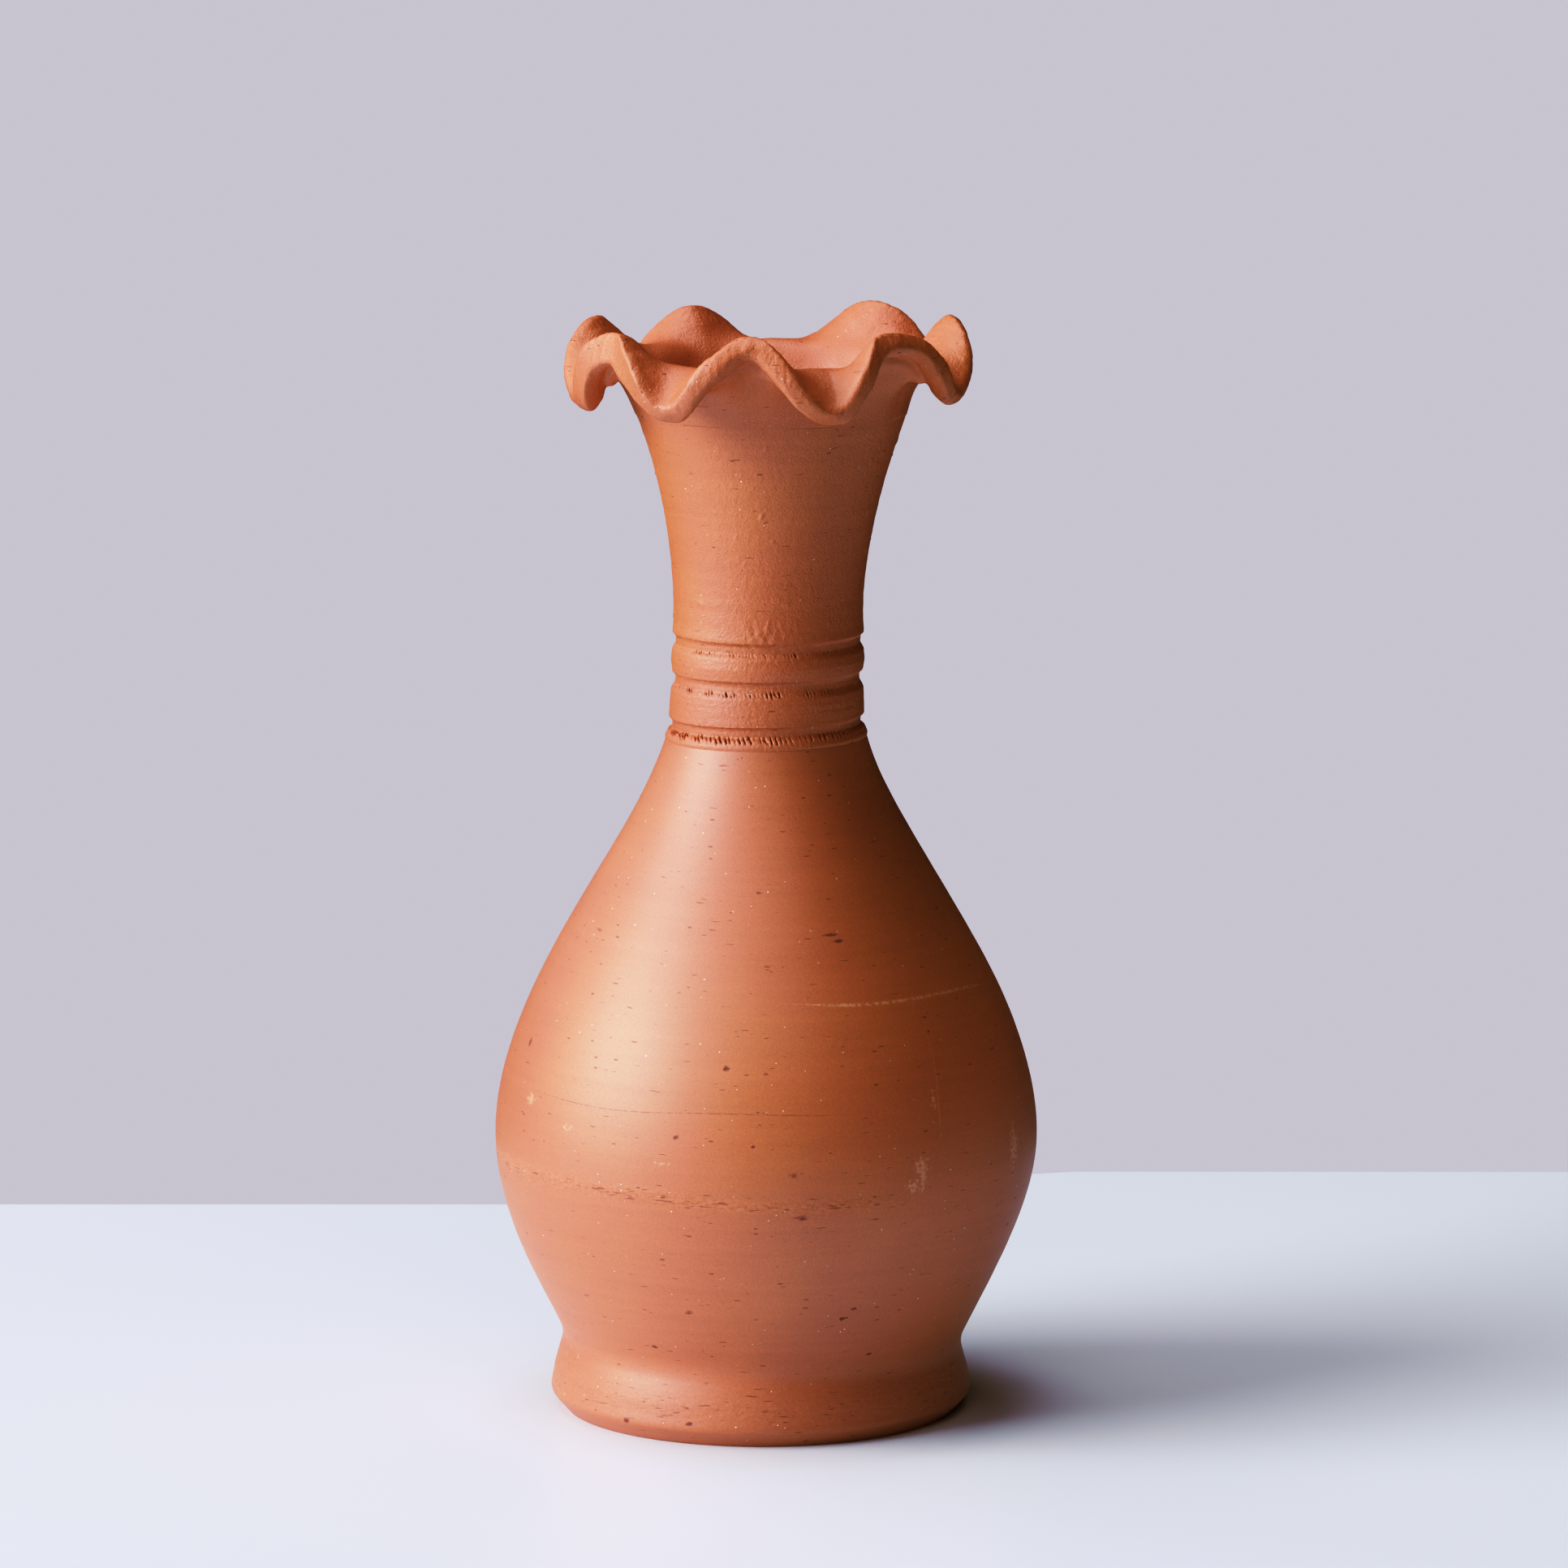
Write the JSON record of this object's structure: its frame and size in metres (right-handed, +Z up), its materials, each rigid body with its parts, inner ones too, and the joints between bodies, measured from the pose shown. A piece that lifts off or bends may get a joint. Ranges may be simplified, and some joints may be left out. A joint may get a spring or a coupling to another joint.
{
  "type": "ceramic bud vase",
  "caption": "Round-bodied terracotta bud vase on a flared foot, with a grooved collar, a flaring neck and a thick ruffled lip.",
  "frame": {"origin": "centre of the underside of the foot, on the surface that the vase stands on", "axes": "+Z up along the vase's axis, towards the lip; -Y is the front; +X is to the right seen from the front"},
  "size_m": [0.1238, 0.1238, 0.2498],
  "materials": {
    "burnished_terracotta": "burnished, unglazed",
    "raw_terracotta": "matte, unglazed, sandy grain"
  },
  "bodies": {
    "root": {"floor_disc": "raw_terracotta", "foot_ring": "burnished_terracotta", "lower_bowl": "burnished_terracotta", "upper_bowl": "burnished_terracotta", "neck_collar": "raw_terracotta", "neck_trumpet": "raw_terracotta", "ruffled_lip": "raw_terracotta"}
  },
  "joints": []
}
